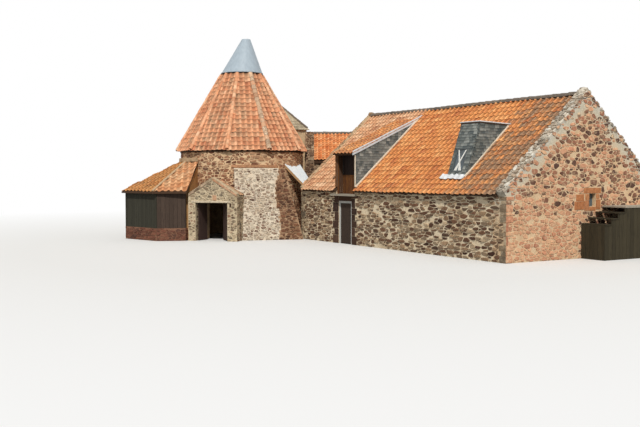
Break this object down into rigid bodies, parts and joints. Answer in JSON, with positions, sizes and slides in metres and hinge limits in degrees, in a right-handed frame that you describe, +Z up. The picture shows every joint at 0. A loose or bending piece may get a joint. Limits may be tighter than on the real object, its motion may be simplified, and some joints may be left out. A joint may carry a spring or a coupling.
{
  "type": "stone watermill with round kiln",
  "caption": "Low stone mill with pantiled roofs, a round kiln under a tiled cone and turning cowl, a boarded lean-to, porch, dormers and gable steps.",
  "frame": {"origin": "on the level ground at the middle of the building's plan box", "axes": "+X along the mill's ridge from the kiln towards the free gable, +Y from the front wall with the doors to the back, +Z up"},
  "size_m": [20.68, 14.4596, 9.22],
  "materials": {
    "rubble_stone": "rough rubble with lime mortar",
    "clay_tile": "weathered pantile",
    "slate": "riven slate",
    "mortar": "weathered mortar",
    "sandstone": "dressed sandstone",
    "dark_timber": "tarred boards",
    "timber": "weathered boards",
    "painted_timber": "worn white paint",
    "grey_sheet": "matt grey sheet",
    "lead": "dull lead",
    "iron": "forged",
    "window_glass": "clear"
  },
  "bodies": {
    "building": {"canopy_beams": "timber", "canopy_sheet": "grey_sheet", "cowl_beam": "timber", "door_pintles": "iron", "gable_window": "window_glass", "kiln_buttress": "rubble_stone", "kiln_door_jambs": "rubble_stone", "kiln_roof": "clay_tile", "kiln_string_course": "sandstone", "kiln_wall_1": "rubble_stone", "kiln_wall_2": "rubble_stone", "kiln_wall_3": "rubble_stone", "kiln_wall_4": "rubble_stone", "kiln_wall_over_door": "rubble_stone", "lean_to_cheek": "rubble_stone", "lean_to_end_boards": "dark_timber", "lean_to_front_boards": "dark_timber", "lean_to_plinth": "rubble_stone", "lean_to_roof": "clay_tile", "lean_to_side_boards": "dark_timber", "link_gable": "rubble_stone", "link_roof": "clay_tile", "link_walls": "rubble_stone", "loft_cheeks": "slate", "loft_door": "timber", "loft_roof": "clay_tile", "loft_sill": "timber", "mill_back_wall": "rubble_stone", "mill_door_frame": "painted_timber", "mill_east_gable": "rubble_stone", "mill_front_lintel": "rubble_stone", "mill_front_wall_east": "rubble_stone", "mill_front_wall_west": "rubble_stone", "mill_loft_floor": "timber", "mill_ridge": "clay_tile", "mill_roof_back": "clay_tile", "mill_roof_front": "clay_tile", "mill_skews": "mortar", "mill_west_gable": "rubble_stone", "platform_boarding": "dark_timber", "platform_deck": "dark_timber", "platform_steps": "dark_timber", "porch_gable": "rubble_stone", "porch_left_wall": "rubble_stone", "porch_right_wall": "rubble_stone", "porch_roof": "clay_tile", "rear_roof": "slate", "rear_walls": "rubble_stone", "slate_dormer": "slate", "slate_lead": "lead", "slate_window": "window_glass"},
    "cowl": {"kiln_cowl": "grey_sheet", "cowl_spindle": "iron"},
    "porch_left_leaf": {"porch_door_left": "dark_timber"},
    "porch_right_leaf": {"porch_door_right": "dark_timber"},
    "mill_leaf": {"mill_door": "dark_timber"}
  },
  "joints": [
    {"name": "cowl_turn", "type": "hinge", "parent": "building", "child": "cowl", "pos_m": [-6.9, -1.74024, 6.7], "axis": [0, 0, 1], "continuous": true},
    {"name": "porch_left_swing", "type": "hinge", "parent": "building", "child": "porch_left_leaf", "pos_m": [-5.1251, -4.76822, 0.5], "axis": [0, 0, 1], "range_deg": [-84, 6]},
    {"name": "porch_right_swing", "type": "hinge", "parent": "building", "child": "porch_right_leaf", "pos_m": [-4.08366, -3.79705, 0.5], "axis": [0, 0, -1], "range_deg": [-54, 36]},
    {"name": "mill_door_swing", "type": "hinge", "parent": "building", "child": "mill_leaf", "pos_m": [0.192, -0.21024, 0.5], "axis": [0, 0, -1], "range_deg": [0, 95]}
  ]
}
